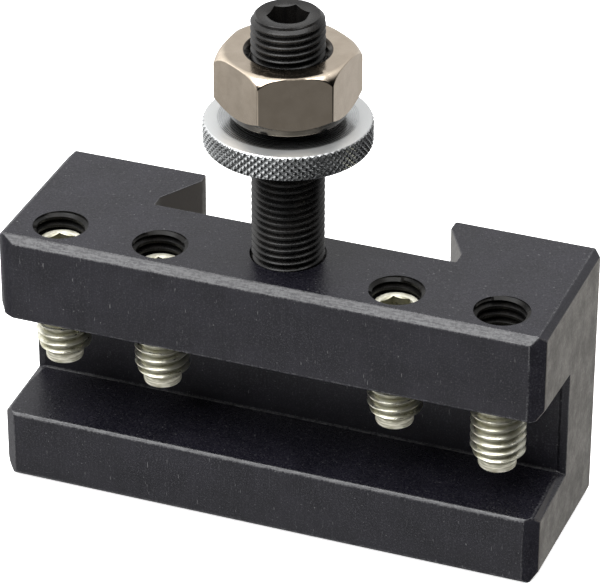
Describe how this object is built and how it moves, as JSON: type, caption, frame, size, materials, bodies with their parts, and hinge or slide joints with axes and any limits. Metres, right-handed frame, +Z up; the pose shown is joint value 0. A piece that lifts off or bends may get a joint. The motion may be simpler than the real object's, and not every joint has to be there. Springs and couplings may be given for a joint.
{
  "type": "quick change tool post holder",
  "caption": "Lathe turning and facing tool holder: slotted steel block with a dovetail back, clamping set screws and a threaded height stud with nuts.",
  "frame": {"origin": "middle of the block's flat base", "axes": "+X along the block, +Y out of the dovetail side towards the tool post, +Z up along the stud"},
  "size_m": [0.0778, 0.0274, 0.0742],
  "materials": {
    "black_oxide_block": "ground steel with satin black oxide",
    "plated_screw": "bright zinc plating with a faint yellow tone",
    "black_oxide_stud": "oiled black oxide",
    "knurled_steel": "turned satin faces and a diamond knurled rim",
    "nickel_plate": "polished nickel plate"
  },
  "bodies": {
    "holder_body": {"holder_body": "black_oxide_block"},
    "set_screw_1": {"set_screw_1": "plated_screw"},
    "set_screw_2": {"set_screw_2": "plated_screw"},
    "set_screw_3": {"set_screw_3": "plated_screw"},
    "set_screw_4": {"set_screw_4": "plated_screw"},
    "height_stud": {"height_stud": "black_oxide_stud"},
    "height_nut": {"height_nut": "knurled_steel"},
    "lock_nut": {"lock_nut": "nickel_plate"}
  },
  "joints": [
    {"name": "set_screw_1_travel", "type": "slide", "parent": "holder_body", "child": "set_screw_1", "axis": [0, 0, 1], "range_m": [-0.00625, 0.0075]},
    {"name": "set_screw_2_travel", "type": "slide", "parent": "holder_body", "child": "set_screw_2", "axis": [0, 0, 1], "range_m": [-0.00625, 0.00875]},
    {"name": "set_screw_3_travel", "type": "slide", "parent": "holder_body", "child": "set_screw_3", "axis": [0, 0, 1], "range_m": [-0.0075, 0.0075]},
    {"name": "set_screw_4_travel", "type": "slide", "parent": "holder_body", "child": "set_screw_4", "axis": [0, 0, 1], "range_m": [-0.00375, 0.01125]},
    {"name": "stud_travel", "type": "slide", "parent": "holder_body", "child": "height_stud", "axis": [0, 0, 1], "range_m": [0, 0.006]},
    {"name": "height_nut_travel", "type": "slide", "parent": "height_stud", "child": "height_nut", "axis": [0, 0, 1], "range_m": [-0.016, 0.005]},
    {"name": "lock_nut_travel", "type": "slide", "parent": "height_nut", "child": "lock_nut", "axis": [0, 0, 1], "range_m": [-0.001, 0.005]}
  ]
}
